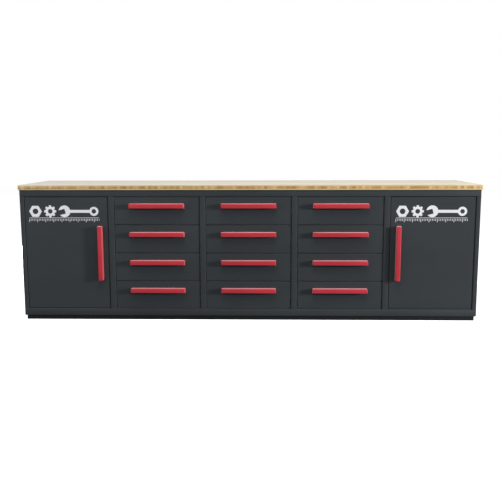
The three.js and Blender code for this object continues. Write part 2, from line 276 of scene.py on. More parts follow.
def zinc(name, tone, brush=(8.0, 700.0, 700.0)):
    """Bright zinc plate with fine drawing lines."""
    m = Nodes(name, Metallic=1.0)
    lines = m.noise(m.stretched(*brush), 1.0, 3.0, 0.6)
    cloud = m.noise(m.place, 22.0, 3.0)
    colour = m.ramp(cloud, [(0.3, tuple(0.82 * c for c in tone)), (0.7, tone)])
    m.set(Base_Color=colour)
    m.set(Roughness=m.math("MULTIPLY_ADD", lines, 0.22, 0.24))
    m.set(Normal=m.bump(lines, 0.05, 0.0002))
    return m.material


def moulded_plastic(name, tone):
    m = Nodes(name)
    grain = m.noise(m.place, 900.0, 3.0)
    cloud = m.noise(m.place, 30.0, 2.0)
    m.set(Base_Color=m.ramp(cloud, [(0.3, tone), (0.7, tuple(1.5 * c for c in tone))]))
    m.set(Roughness=m.math("MULTIPLY_ADD", grain, 0.2, 0.42))
    m.set(Normal=m.bump(grain, 0.15, 0.0003))
    return m.material


def ribbed_mat(name, tone):
    """Soft drawer mat with fine ribs from front to back."""
    m = Nodes(name)
    ribs = m.math("SINE", m.math("MULTIPLY", m.axis("X"), 2 * math.pi / MAT_RIB))
    grain = m.noise(m.place, 1200.0, 2.0)
    cloud = m.noise(m.place, 12.0, 3.0)
    m.set(Base_Color=m.ramp(cloud, [(0.3, tone), (0.7, tuple(1.4 * c for c in tone))]))
    m.set(Roughness=m.math("MULTIPLY_ADD", grain, 0.15, 0.75))
    m.set(Normal=m.bump(ribs, 0.4, 0.0006, m.bump(grain, 0.2, 0.0003)))
    return m.material


def printed(name, tone):
    """Screen-printed paint: flat, with a faint broken edge of tone from the pebbled coat below."""
    m = Nodes(name)
    grain = m.noise(m.place, 500.0, 3.0, 0.6)
    m.set(Base_Color=m.ramp(grain, [(0.25, tuple(0.9 * c for c in tone)), (0.6, tone)]))
    m.set(Roughness=m.math("MULTIPLY_ADD", grain, 0.15, 0.45))
    m.set(Normal=m.bump(grain, 0.1, 0.0004))
    return m.material


def strips(m, along, across, width, length, seed):
    """Boards glued from strips: (tone of each strip, 0 to 1; 1 on the glue lines)."""
    row = m.math("DIVIDE", across, width)
    row_number = m.math("FLOOR", row)
    offset = m.add("ShaderNodeTexWhiteNoise", {"W": row_number}, noise_dimensions="1D")
    stagger = m.math("MULTIPLY_ADD", offset.outputs["Value"], length, seed)
    place = m.math("DIVIDE", m.math("ADD", along, stagger), length)
    number = {"X": row_number, "Y": m.math("FLOOR", place), "Z": seed}
    cell = m.add("ShaderNodeCombineXYZ", number).outputs["Vector"]
    tone = m.add("ShaderNodeTexWhiteNoise", {"Vector": cell}).outputs["Value"]
    edge = m.math("ABSOLUTE", m.math("SUBTRACT", m.math("FRACT", row), 0.5))
    end = m.math("ABSOLUTE", m.math("SUBTRACT", m.math("FRACT", place), 0.5))
    side_line = m.math("GREATER_THAN", edge, 0.5 - GLUE_HALF / width)
    end_line = m.math("GREATER_THAN", end, 0.5 - GLUE_HALF / length)
    return tone, m.math("MAXIMUM", side_line, end_line)


def face_colour(m, tone, fibre):
    """Pale layer with fine fibres along it and short brown flecks."""
    fleck = m.noise(m.stretched(38.0, 900.0, 900.0), 1.0, 2.0)
    face = m.ramp(tone, [(0.0, HONEY), (0.55, rgb(222, 197, 152)), (1.0, rgb(229, 208, 166))])
    face = m.mix(m.ramp(fibre, [(0.35, 0.35), (0.65, 0.0)]), face, (*HONEY, 1.0))
    return m.mix(m.ramp(fleck, [(0.66, 0.0), (0.78, 0.4)]), face, (*rgb(194, 158, 94), 1.0))


def core_colour(m, tone):
    """Darker layer with the pores of its cut ends."""
    pores = m.noise(m.stretched(620.0, 620.0, 620.0), 1.0, 3.0, 0.7)
    blocks = [(0.0, rgb(172, 136, 76)), (0.5, rgb(202, 168, 106)), (1.0, rgb(222, 194, 138))]
    core = m.ramp(tone, blocks)
    return m.mix(m.ramp(pores, [(0.35, 0.5), (0.65, 0.0)]), core, (*UMBER, 1.0))


def bamboo(name, z0, z1):
    """Three-layer laminated board: long strips in both face layers, cross-laid strips in the core,
    whose cut ends show along the front and back edges."""
    m = Nodes(name, Coat_Weight=0.5, Coat_Roughness=0.2, IOR=1.5)
    x, y, z = (m.axis(a) for a in "XYZ")
    long_tone, long_line = strips(m, x, y, *FACE_STRIP, seed=0.37)
    cross_tone, cross_line = strips(m, y, x, *CORE_STRIP, seed=0.71)
    fibre = m.noise(m.stretched(4.0, 420.0, 420.0), 1.0, 4.0, 0.65)

    above = m.math("GREATER_THAN", z, z0 + FACE_PLY)
    below = m.math("LESS_THAN", z, z1 - FACE_PLY)
    inner = m.math("MULTIPLY", above, below)
    colour = m.mix(inner, face_colour(m, long_tone, fibre), core_colour(m, cross_tone))
    line = m.mix(inner, long_line, cross_line)
    colour = m.mix(m.math("MULTIPLY", line, 0.35), colour, (*UMBER, 1.0))
    board = z1 - z0
    level = m.math("DIVIDE", m.math("SUBTRACT", z, z0), board)
    # Height bands that multiply the colour: painted shade on the upper layer's edge, painted
    # reflection on the top.
    painted_light_tones = [
        (0.0, (1.0, 1.0, 1.0)),
        (1 - FACE_PLY / board, (0.76, 0.73, 0.68)),  # edge of the upper layer, darkened: painted shade
        (1 - BOARD_ARRIS / board, (0.75, 0.82, 0.96)),  # top, tinted grey-blue: painted reflection of the pale sky
    ]
    m.set(Base_Color=m.mix(1.0, colour, m.ramp(level, painted_light_tones, stepped=True), "MULTIPLY"))
    wear = m.noise(m.stretched(5.0, 7.0, 5.0), 1.0, 4.0, 0.6)
    m.set(Roughness=m.math("MULTIPLY_ADD", wear, 0.16, 0.30))
    pressed = m.bump(line, -0.25, 0.0003)
    m.set(Normal=m.bump(fibre, 0.06, 0.0004, pressed))
    return m.material


def make_materials():
    z0, z1 = (corner.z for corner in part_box("worktop"))
    return {
        "body": powder_coat("anthracite_powder_coat", rgb(47, 52, 55), (0.50, 0.64), 0.30),
        "plinth": powder_coat("black_powder_coat", rgb(24, 26, 27), (0.55, 0.70), 0.20),
        "red": powder_coat("red_powder_coat", rgb(184, 40, 54), (0.48, 0.60), 0.50, 0.7, 0.5),
        "wood": bamboo("laminated_bamboo", z0, z1),
        "zinc": zinc("zinc_plate", (0.62, 0.63, 0.64)),
        "dark": zinc("blackened_steel", (0.035, 0.035, 0.036)),
        "runner": zinc("runner_zinc", (0.50, 0.51, 0.52), (700.0, 8.0, 700.0)),
        "plastic": moulded_plastic("black_plastic", (0.012, 0.012, 0.013)),
        "mat": ribbed_mat("drawer_mat", (0.022, 0.023, 0.024)),
        "print": printed("white_print", rgb(226, 228, 232)),
    }


# ------------------------------------------------------------ mesh functions

def finished(name, bm, material, body, replaces=(), smooth=SMOOTH):
    """The mesh as a shaded object that rides on a CAD body."""
    bmesh.ops.remove_doubles(bm, verts=bm.verts, dist=1e-7)
    bmesh.ops.recalc_face_normals(bm, faces=bm.faces)
    mesh = bpy.data.meshes.new(name)
    bm.to_mesh(mesh)
    bm.free()
    mesh.shade_smooth()
    mesh.set_sharp_from_angle(angle=math.radians(smooth))
    mesh.materials.append(material)
    obj = bpy.data.objects.new(name, mesh)
    bpy.context.scene.collection.objects.link(obj)
    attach(obj, body)
    if replaces:
        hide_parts(*replaces)
    return obj


def combined(first, operation, *others):
    """A mesh cut by, or joined with, each of the others. All are used up."""

    def temporary(bm):
        bmesh.ops.recalc_face_normals(bm, faces=bm.faces)
        mesh = bpy.data.meshes.new("temporary")
        bm.to_mesh(mesh)
        bm.free()
        obj = bpy.data.objects.new("temporary", mesh)
        bpy.context.scene.collection.objects.link(obj)
        return obj

    base = temporary(first)
    tools = [temporary(bm) for bm in others]
    for tool in tools:
        modifier = base.modifiers.new("combine", "BOOLEAN")
        modifier.operation = operation
        modifier.solver = "EXACT"
        modifier.object = tool
    graph = bpy.context.evaluated_depsgraph_get()
    result = bmesh.new()
    result.from_object(base, graph)
    for obj in (base, *tools):
        mesh = obj.data
        bpy.data.objects.remove(obj)
        bpy.data.meshes.remove(mesh)
    return result


def joined(bm, other):
    """Adds a mesh to bm without merging the two. The other is used up."""
    mesh = bpy.data.meshes.new("temporary")
    other.to_mesh(mesh)
    other.free()
    bm.from_mesh(mesh)
    bpy.data.meshes.remove(mesh)


def axes(origin, u, v):
    """Matrix that puts (u, v, w) in place, w being u cross v."""
    u, v = Vector(u), Vector(v)
    return Matrix.Translation(origin) @ Matrix((u, v, u.cross(v))).transposed().to_4x4()


def standing(flip=1):
    """Puts a section drawn in plan in place; flip mirrors it left to right."""
    return lambda u, v, w: (flip * u, v, w)


def lying(x, z, flip):
    """Puts a section drawn from the front at (x, z), to run from front to back."""
    return lambda u, v, w: (x + flip * u, w, z + v)


UPRIGHT = ((0, 0, 1), (1, 0, 0))  # a pan facing the front, depth to the back
FACE_DOWN = ((1, 0, 0), (0, 1, 0))  # a pan whose sheet is at the bottom
FACE_UP = ((1, 0, 0), (0, -1, 0))  # a pan whose sheet is on top


def left_of(heading):
    return Vector((-heading.y, heading.x))


def moved_left(corners, distance):
    """The bent line moved to its left, with mitred corners."""
    headings = [(b - a).normalized() for a, b in zip(corners, corners[1:])]
    sides = [left_of(h) for h in headings]
    moved = [corners[0] + sides[0] * distance]
    for corner, before, after in zip(corners[1:], sides, sides[1:]):
        mitre = (before + after).normalized()
        moved.append(corner + mitre * distance / mitre.dot(before))
    moved.append(corners[-1] + sides[-1] * distance)
    return moved


def rounded(corners, radius):
    """(point, left-hand direction) pairs along the bent line, each corner an arc."""
    path = [(corners[0], left_of((corners[1] - corners[0]).normalized()))]
    for a, b, c in zip(corners, corners[1:], corners[2:]):
        into, out = (b - a).normalized(), (c - b).normalized()
        turn = math.atan2(into.x * out.y - into.y * out.x, into.dot(out))
        start = b - into * radius * math.tan(abs(turn) / 2)
        centre = start + left_of(into) * math.copysign(radius, turn)
        for k in range(ARC_STEPS + 1):
            spin = Matrix.Rotation(turn * k / ARC_STEPS, 2)
            path.append((centre + spin @ (start - centre), spin @ left_of(into)))
    path.append((corners[-1], left_of((corners[-1] - corners[-2]).normalized())))
    return path


def sheet_section(corners, thickness=SHEET, radius=FOLD):
    """Section of a folded sheet: the points of its outer face, which runs through corners with the
    material to the left, and those of its inner face."""
    middle = moved_left([Vector(c) for c in corners], thickness / 2)
    path = rounded(middle, radius - thickness / 2)
    outer = [p - n * thickness / 2 for p, n in path]
    inner = [p + n * thickness / 2 for p, n in path]
    return outer, inner


def add_folded(bm, section, low, high, place):
    """A folded sheet raised from low to high. place turns (u, v, w) into a point."""
    outer, inner = section
    line = outer + inner[::-1]
    rings = [[bm.verts.new(place(p.x, p.y, w)) for p in line] for w in (low, high)]
    count = len(line)
    for i in range(count):
        j = (i + 1) % count
        bm.faces.new((rings[0][i], rings[0][j], rings[1][j], rings[1][i]))
    for ring in rings:
        for i in range(count // 2 - 1):
            k = count - 1 - i
            bm.faces.new((ring[i], ring[i + 1], ring[k - 1], ring[k]))


def rectangle(inset, u, v, corner):
    """Points round a u by v rectangle moved inwards by inset, its corners rounded."""
    radius, near = max(corner - inset, 0.0), max(inset, corner)
    centres = ((u - near, near), (u - near, v - near), (near, v - near), (near, near))
    points = []
    for quarter, (cu, cv) in enumerate(centres):
        for k in range(ARC_STEPS + 1):
            angle = (quarter - 1 + k / ARC_STEPS) * math.pi / 2
            points.append((cu + radius * math.cos(angle), cv + radius * math.sin(angle)))
    return points


def add_swept(bm, line, u, v, matrix, corner=CORNER, closed=False):
    """The line of (inset, w) points swept round a u by v rectangle. An open line's ends are closed
    with flat sheets."""
    rings = []
    for inset, w in line:
        places = [matrix @ Vector((a, b, w)) for a, b in rectangle(inset, u, v, corner)]
        rings.append([bm.verts.new(p) for p in places])
    pairs = list(zip(rings, rings[1:]))
    if closed:
        pairs.append((rings[-1], rings[0]))
    else:
        bm.faces.new(rings[0])
        bm.faces.new(rings[-1])
    for a, b in pairs:
        for i in range(len(a)):
            j = (i + 1) % len(a)
            bm.faces.new((a[i], a[j], b[j], b[i]))


def add_pan(bm, size, depth, lip, matrix, corner=CORNER):
    """A folded pan: its sheet at w = 0, walls depth high and lips turned in round the open side."""
    past_fold = 3 * FOLD  # the flat sheet closes the sweep from here on
    corners = [(0, depth), (0, 0), (past_fold, 0)]
    if lip:
        corners.insert(0, (lip, depth))
    outer, inner = sheet_section(corners)
    add_swept(bm, outer[::-1] + inner, *size, matrix, corner)


def add_block(bm, low, high, radius=0.0, steps=3, picked=lambda middle: True):
    """A box whose picked edges, by the middle of the edge, are rounded."""
    low, high = Vector(low), Vector(high)
    verts = bmesh.ops.create_cube(bm, size=1.0)["verts"]
    for vert in verts:
        vert.co = Vector(low[i] + (vert.co[i] + 0.5) * (high[i] - low[i]) for i in range(3))
    if radius:
        edges = {e for vert in verts for e in vert.link_edges}
        chosen = [e for e in edges if picked((e.verts[0].co + e.verts[1].co) / 2)]
        settings = {"offset": radius, "segments": steps, "profile": 0.5, "affect": "EDGES"}
        bmesh.ops.bevel(bm, geom=chosen, **settings)


def block(*args, **kwargs):
    bm = bmesh.new()
    add_block(bm, *args, **kwargs)
    return bm


def add_lathe(bm, profile, matrix, sides=16):
    """A profile of (radius, w) points turned about w. Its first and last points are on the axis."""
    ends = [bm.verts.new(matrix @ Vector((0, 0, w))) for _, w in (profile[0], profile[-1])]
    rings = []
    for radius, w in profile[1:-1]:
        angles = [2 * math.pi * k / sides for k in range(sides)]
        points = [Vector((radius * math.cos(a), radius * math.sin(a), w)) for a in angles]
        rings.append([bm.verts.new(matrix @ p) for p in points])
    for k in range(sides):
        j = (k + 1) % sides
        bm.faces.new((ends[0], rings[0][j], rings[0][k]))
        bm.faces.new((ends[1], rings[-1][k], rings[-1][j]))
        for a, b in zip(rings, rings[1:]):
            bm.faces.new((a[k], a[j], b[j], b[k]))


def facing(point, direction):
    """Matrix that stands w on point, along direction."""
    turn = Vector(direction).to_track_quat("Z", "Y").to_matrix().to_4x4()
    return Matrix.Translation(point) @ turn


def add_rivet(bm, point, direction):
    """Domed blind rivet head with the mandrel's dimple."""
    r = RIVET_R
    profile = [(0, 0.22 * r), (0.22 * r, 0.22 * r), (0.28 * r, 0.36 * r), (0.6 * r, 0.30 * r)]
    profile += [(0.88 * r, 0.16 * r), (r, 0.0), (0.9 * r, -0.05 * r), (0, -0.05 * r)]
    add_lathe(bm, profile, facing(point, direction))


def add_screw(bm, point, direction, r=SCREW_R):
    """Button-head screw of radius r with a round socket."""
    profile = [(0, 0.12 * r), (0.34 * r, 0.12 * r), (0.38 * r, 0.52 * r), (0.62 * r, 0.46 * r)]
    profile += [(0.86 * r, 0.30 * r), (r, 0.06 * r), (0.97 * r, -0.05 * r), (0, -0.05 * r)]
    add_lathe(bm, profile, facing(point, direction))


def add_prism(bm, points, low, high, matrix):
    """A convex outline raised from low to high."""
    rings = [[bm.verts.new(matrix @ Vector((a, b, w))) for a, b in points] for w in (low, high)]
    for ring in rings:
        bm.faces.new(ring)
    for i in range(len(points)):
        j = (i + 1) % len(points)
        bm.faces.new((rings[0][i], rings[0][j], rings[1][j], rings[1][i]))


def polygon(sides, radius):
    angles = [2 * math.pi * k / sides for k in range(sides)]
    return [(radius * math.cos(a), radius * math.sin(a)) for a in angles]


# ------------------------------------------------------------------- carcass

def size_of(node):
    low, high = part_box(node)
    return low, high, high - low


def worktop(paint):
    low, high, _ = size_of("worktop")
    board = block(low, high, BOARD_ARRIS)
    finished("worktop_board", board, paint["wood"], "carcass", ["worktop"])


def rails(paint):
    """Top pan and base pan, whose skirts show as the rails above and below the drawers."""
    low, high, size = size_of("top_pan")
    bm = bmesh.new()
    add_pan(bm, size.xy, size.z, PAN_FLANGE, axes(low, *FACE_DOWN))
    finished("top_rail_pan", bm, paint["body"], "carcass", ["top_pan"])
    low, high, size = size_of("base_pan")
    bm = bmesh.new()
    corner = (low.x, high.y, high.z)
    add_pan(bm, size.xy, size.z, PAN_FLANGE, axes(corner, *FACE_UP))
    finished("bottom_rail_pan", bm, paint["body"], "carcass", ["base_pan"])


def plinth(paint):
    low, _, size = size_of("plinth")
    corners = [(PLINTH_FLANGE, size.z), (0, size.z), (0, 0), (PLINTH_FLANGE, 0)]
    outer, inner = sheet_section(corners)
    bm = bmesh.new()
    matrix = axes(low, *FACE_DOWN)
    add_swept(bm, outer + inner[::-1], size.x, size.y, matrix, closed=True)
    finished("plinth_frame", bm, paint["plinth"], "carcass", ["plinth"])


def side_panel(paint, name, side):
    """Outer skin, folded in front to the return that shows as the end post."""
    node = f"side_panel_{name}"
    low, high, _ = size_of(node)
    skin = abs(low.x if side < 0 else high.x)
    post = skin - SIDE_POST_W
    corners = [
        (skin, high.y + SEAM),
        (skin, FRONT_Y),
        (post, FRONT_Y),
        (post, FRONT_Y + POST_RETURN),
    ]
    bm = bmesh.new()
    section = sheet_section([(-x, y) for x, y in corners])
    add_folded(bm, section, low.z, high.z, standing(-side))
    finished(f"side_skin_{name}", bm, paint["body"], "carcass", [node])


def divider(paint, number):
    """Sheet folded to a U, whose web shows as a post."""
    node = f"divider_{number}"
    low, high, _ = size_of(node)
    middle = DIVIDER_X[number]
    left, right = middle - POST_W / 2, middle + POST_W / 2
    corners = [(left, high.y), (left, FRONT_Y), (right, FRONT_Y), (right, high.y)]
    bm = bmesh.new()
    add_folded(bm, sheet_section(corners), low.z, high.z, standing())
    finished(f"divider_fold_{number}", bm, paint["body"], "carcass", [node])


def ledges(paint):
    """The angles that carry the shelves, two in each cupboard."""
    y0 = FRONT_Y + LEDGE_SETBACK
    for name, side in SIDES.items():
        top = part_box(f"shelf_{name}")[0].z - FIT
        skin = abs(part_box(f"side_panel_{name}")[0 if side < 0 else 1].x) - SHEET
        for place, wall, flip in (("outer", skin, side), ("inner", -CUPBOARD_X, -side)):
            corners = [(wall, top - LEDGE), (wall, top), (wall - LEDGE, top)]
            bm = bmesh.new()
            add_folded(bm, sheet_section(corners), y0, y0 + LEDGE_L, lying(0, 0, flip))
            finished(f"shelf_ledge_{name}_{place}", bm, paint["body"], "carcass")


def back_panel(paint):
    """Back sheet with upright stiffening ribs pressed inwards."""
    node = "back_panel"
    low, high, size = size_of(node)
    corners = [(high.x, high.y)]
    count = int(size.x / BACK_RIB_PITCH)
    for k in range(count):
        middle = ((count - 1) / 2 - k) * BACK_RIB_PITCH
        a, b = middle + BACK_RIB_W / 2, middle - BACK_RIB_W / 2
        corners.append((a + BACK_RIB_SLOPE, high.y))
        corners.append((a, high.y - BACK_RIB_H))
        corners.append((b, high.y - BACK_RIB_H))
        corners.append((b - BACK_RIB_SLOPE, high.y))
    corners.append((low.x, high.y))
    bm = bmesh.new()
    add_folded(bm, sheet_section(corners), low.z - SEAM, high.z + SEAM, standing())
    finished("back_sheet", bm, paint["body"], "carcass", [node], RIB_SMOOTH)


def shelf(paint, name):
    node = f"shelf_{name}"
    low, high, size = size_of(node)
    bm = bmesh.new()
    corner = (low.x, high.y, high.z)
    add_pan(bm, size.xy, size.z, 0.0, axes(corner, *FACE_UP))
    finished(f"shelf_board_{name}", bm, paint["body"], "carcass", [node])


def catch(paint, name):
    """Magnetic catch: a moulded case round two pole plates that meet the door."""
    node = f"door_{name}_catch"
    low, high, size = size_of(node)
    bm = block(low + Vector((0, POLE_PROUD, 0)), high, 1.2 * MM)
    finished(f"catch_case_{name}", bm, paint["plastic"], "carcass", [node])
    bm = bmesh.new()
    for x in (low.x + POLE_SHARE * size.x, high.x - POLE_SHARE * size.x):
        a = (x - POLE_T / 2, low.y, low.z + POLE_END)
        b = (x + POLE_T / 2, low.y + POLE_DEEP, high.z - POLE_END)
        add_block(bm, a, b, 0.3 * MM, 1)
    finished(f"catch_poles_{name}", bm, paint["zinc"], "carcass")


# ------------------------------------------------------------------- handles

def grip_mesh():
    """Folded handle along X, closed above and at its ends, open below. It stands on y = 0."""
    _, _, size = size_of("drawer_middle_1_handle")
    half, deep, tall = size.x / 2, size.y, size.z

    def outer(middle):
        front = middle.y < -0.99 * deep
        end_top = abs(middle.x) > 0.99 * half and middle.z > 0.99 * tall
        return front or end_top

    shell = block((-half, -deep, 0), (half, 0, tall), GRIP_R, 5, outer)
    t = GRIP_T
    hollow = block((t - half, t - deep, -tall), (half - t, -t, tall - t), GRIP_INNER_R)
    made = combined(shell, "DIFFERENCE", hollow)
    mesh = bpy.data.meshes.new("grip")
    made.to_mesh(mesh)
    made.free()
    return mesh


def screw_mesh():
    """The two screws of a handle, on the inside of its back plate."""
    bm = bmesh.new()
    for x in (-GRIP_SCREW_X, GRIP_SCREW_X):
        add_screw(bm, (x, -GRIP_T, GRIP_SCREW_Z), (0, -1, 0))
    mesh = bpy.data.meshes.new("grip_screws")
    bm.to_mesh(mesh)
    bm.free()
    return mesh


def copied(mesh, matrix):
    bm = bmesh.new()
    bm.from_mesh(mesh)
    bmesh.ops.transform(bm, matrix=matrix, verts=bm.verts)
    return bm


def handle(paint, meshes, node, body, turn=0.0):
    """A handle with its screws. turn is its angle about Y, in degrees: 0 is open side down."""
    low, high, size = size_of(node)
    spin = Matrix.Rotation(math.radians(turn), 4, "Y")
    tall = min(size.x, size.z)
    centre = (low + high) / 2
    offset = spin @ Vector((0, 0, -tall / 2))
    matrix = Matrix.Translation((centre.x + offset.x, high.y, centre.z + offset.z)) @ spin
    grip = copied(meshes["grip"], matrix)
    finished(f"{node}_grip", grip, paint["red"], body, [node])
    screws = copied(meshes["screws"], matrix)
    finished(f"{node}_screws", screws, paint["zinc"], body)


# ------------------------------------------------------------------- drawers

def front_pan(low, size, lip):
    """A folded pan facing the front, its edges set in by the reveal."""
    bm = bmesh.new()
    corner = low + Vector((REVEAL, 0, REVEAL))
    face = (size.z - 2 * REVEAL, size.x - 2 * REVEAL)
    add_pan(bm, face, size.y, lip, axes(corner, *UPRIGHT))
    return bm


def drawer_front(paint, body):
    node = f"{body}_front"
    low, _, size = size_of(node)
    bm = front_pan(low, size, DRAWER_LIP)
    finished(f"{node}_pan", bm, paint["body"], body, [node])


def drawer_tray(paint, body):
    node = f"{body}_tray"
    low, high, size = size_of(node)
    low = low + Vector((SLIDER_REACH, 0, 0))
    high = high - Vector((SLIDER_REACH, 0, 0))
    size = high - low
    bm = bmesh.new()
    add_pan(bm, size.xy, size.z, TRAY_HEM, axes(low, *FACE_DOWN))
    finished(f"{node}_box", bm, paint["body"], body, [node])
    inset = SHEET + MAT_INSET
    a = low + Vector((inset, inset, SHEET + MAT_CLEAR))
    b = Vector((high.x - inset, high.y - inset, a.z + MAT_T))
    mat = block(a, b, 0.8 * MM, 2)
    finished(f"{node}_mat", mat, paint["mat"], body)


def runner_section(reach, height):
    """Channel of a runner: web at u = 0, open towards +u, with lips at the tips."""
    corners = [
        (reach, height - RUNNER_LIP),
        (reach, height),
        (0, height),
        (0, 0),
        (reach, 0),
        (reach, RUNNER_LIP),
    ]
    return sheet_section(corners, RUNNER_T, RUNNER_FOLD)


def runner_span(front):
    """Front and back end of a runner, from the box of a drawer front."""
    y0 = front[1].y + RUNNER_SETBACK
    return y0, y0 + RUNNER_L


def sliders(paint, body):
    """The moving runner on each side of a tray, with its screws inside the tray."""
    low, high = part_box(f"{body}_tray")
    y0, y1 = runner_span(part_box(f"{body}_front"))
    middle = (low.x + high.x) / 2
    wall = (high.x - low.x) / 2 - SLIDER_REACH
    z0 = low.z + RUNNER_LIFT + (RUNNER_H - SLIDER_H) / 2
    section = runner_section(SLIDER_REACH, SLIDER_H)
    bm = bmesh.new()
    for side in SIDES.values():
        add_folded(bm, section, y0, y1, lying(middle + side * wall, z0, side))
        inner = middle + side * (wall - SHEET)
        for share in SLIDER_SCREWS:
            at = (inner, y0 + share * RUNNER_L, z0 + SLIDER_H / 2)
            add_screw(bm, at, (-side, 0, 0), SLIDER_SCREW_R)
    finished(f"{body}_sliders", bm, paint["runner"], body)


def fixed_runners(paint, column, name, side):
    """The four fixed runners on one side of a drawer column."""
    bm = bmesh.new()
    section = runner_section(RUNNER_REACH, RUNNER_H)
    for row in ROWS:
        body = f"drawer_{column}_{row}"
        low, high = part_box(f"{body}_tray")
        y0, y1 = runner_span(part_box(f"{body}_front"))
        wall = (low.x + high.x) / 2 + side * BAY_HALF
        z0 = low.z + RUNNER_LIFT
        add_folded(bm, section, y0, y1, lying(wall, z0, -side))
        web = wall - side * RUNNER_T
        for share in RUNNER_RIVETS:
            at = (web, y0 + share * RUNNER_L, z0 + RUNNER_H / 2)
            add_rivet(bm, at, (-side, 0, 0))
    finished(f"runners_{column}_{name}", bm, paint["runner"], "carcass")


# --------------------------------------------------------------------- doors

def pin_bore(name, end):
    """Cutter for the bore that turns on a pivot pin."""
    low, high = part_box(f"door_{name}_pin_{end}")
    bm = bmesh.new()
    place = Matrix.Translation((low + high) / 2)
    add_prism(bm, polygon(32, PIN_BORE_R), -PIN_BORE_REACH, PIN_BORE_REACH, place)
    return bm


def door_panel(paint, name):
    """Folded pan with bores for the pivot pins."""
    node = f"door_{name}"
    low, _, size = size_of(node)
    bores = [pin_bore(name, end) for end in PIN_ENDS]
    bm = combined(front_pan(low, size, DOOR_LIP), "DIFFERENCE", *bores)
    finished(f"door_pan_{name}", bm, paint["body"], node, [node])


def door_rib(paint, name):
    """Stiffening channel down the back of a door, its flanges on the door's sheet."""
    node = f"door_{name}"
    low, high, _ = size_of(node)
    middle = (low.x + high.x) / 2
    a, b = middle - DOOR_RIB_W / 2, middle + DOOR_RIB_W / 2
    front, back = low.y + SHEET + DOOR_RIB_CLEAR, high.y
    corners = [
        (b + DOOR_RIB_FLANGE, front),
        (b, front),
        (b, back),
        (a, back),
        (a, front),
        (a - DOOR_RIB_FLANGE, front),
    ]
    bm = bmesh.new()
    z0, z1 = low.z + DOOR_RIB_STOP, high.z - DOOR_RIB_STOP
    add_folded(bm, sheet_section(corners), z0, z1, standing())
    finished(f"door_rib_{name}", bm, paint["body"], node)


# ------------------------------------------------------------ printed marks

MARK_W = 430 * MM  # overall width of the print
MARK_Z = 678 * MM  # height of the pictograms' middle above the floor
MARK_SHIFT = {"left": 14 * MM, "right": 8 * MM}  # from the door's middle, to the bench's left
MARK_T = 0.12 * MM  # thickness of the print
MARK_RULE_Z = 637 * MM  # the scale below the pictograms
MARK_RULE_T = 2.4 * MM
MARK_TICK = 10 * MM  # from tick to tick
MARK_TICK_W = 3 * MM
MARK_TICK_GAP = 5 * MM  # below the rule
MARK_TICK_H = {"short": 12 * MM, "long": 20 * MM}
NUT_X, GEAR_X, SPANNER_X = 39 * MM, 130 * MM, 218 * MM  # from the print's left end
SPANNER_END = 31 * MM  # middle of its ring, from the print's right end

NUT_R = 39 * MM
NUT_BORE_R = 17 * MM
GEAR_R = 29 * MM
GEAR_BORE_R = 14 * MM
GEAR_TEETH = 8
GEAR_TOOTH = (24 * MM, 37 * MM)  # from the gear's middle
GEAR_TOOTH_W = 14 * MM
SHAFT_W = 18 * MM
JAW_R = 36 * MM
JAW_GAP = 30 * MM
JAW_SLOT = (-4 * MM, 60 * MM)  # from the jaw's middle
JAW_TURN = 195  # degrees
RING_R = 28 * MM
RING_HOLE_R = 15 * MM


def bar(x0, x1, y0, y1):
    return [(x0, y0), (x1, y0), (x1, y1), (x0, y1)]


def nut(plate, x):
    bore = plate(polygon(32, NUT_BORE_R), x, cutter=True)
    return combined(plate(polygon(6, NUT_R), x), "DIFFERENCE", bore)


def gear(plate, x):
    tooth = bar(GEAR_TOOTH[0], GEAR_TOOTH[1], -GEAR_TOOTH_W / 2, GEAR_TOOTH_W / 2)
    teeth = [plate(tooth, x, turn=2 * math.pi * k / GEAR_TEETH) for k in range(GEAR_TEETH)]
    disc = combined(plate(polygon(40, GEAR_R), x), "UNION", *teeth)
    return combined(disc, "DIFFERENCE", plate(polygon(32, GEAR_BORE_R), x, cutter=True))


def spanner(plate, x, length):
    """Open jaw at x, ring at the far end."""
    end = x + length
    shaft = plate(bar(0, length, -SHAFT_W / 2, SHAFT_W / 2), x)
    ring = plate(polygon(40, RING_R), end)
    whole = combined(plate(polygon(40, JAW_R), x), "UNION", shaft, ring)
    jaw = bar(JAW_SLOT[0], JAW_SLOT[1], -JAW_GAP / 2, JAW_GAP / 2)
    slot = plate(jaw, x, turn=math.radians(JAW_TURN), cutter=True)
    hole = plate(polygon(6, RING_HOLE_R), end, cutter=True)
    return combined(whole, "DIFFERENCE", slot, hole)


def mark(paint, name):
    """Print on a door: nut, gear and spanner over a measuring scale."""
    low, high, _ = size_of(f"door_{name}")
    middle = (low.x + high.x) / 2 - MARK_SHIFT[name]

    def plate(points, x, turn=0.0, cutter=False, z=MARK_Z):
        face = axes((middle + x, low.y, z), (1, 0, 0), (0, 0, 1))
        over = 3.0 if cutter else 1.0  # cutters reach past both faces
        bm = bmesh.new()
        matrix = face @ Matrix.Rotation(turn, 4, "Z")
        add_prism(bm, points, (1 - over) * MARK_T, over * MARK_T, matrix)
        return bm

    half = MARK_W / 2
    icons = {
        "nut": nut(plate, NUT_X - half),
        "gear": gear(plate, GEAR_X - half),
        "spanner": spanner(plate, SPANNER_X - half, MARK_W - SPANNER_X - SPANNER_END),
    }
    for icon, bm in icons.items():
        finished(f"mark_{icon}_{name}", bm, paint["print"], f"door_{name}")
    bm = plate(bar(-half, half, 0, MARK_RULE_T), 0, z=MARK_RULE_Z)
    for k in range(round(MARK_W / MARK_TICK) + 1):
        tall = MARK_TICK_H["short" if k % 5 else "long"]
        tick = bar(-MARK_TICK_W / 2, MARK_TICK_W / 2, -MARK_TICK_GAP - tall, -MARK_TICK_GAP)
        joined(bm, plate(tick, k * MARK_TICK - half, z=MARK_RULE_Z))
    finished(f"mark_scale_{name}", bm, paint["print"], f"door_{name}")


# ------------------------------------------------------ stage, light, camera

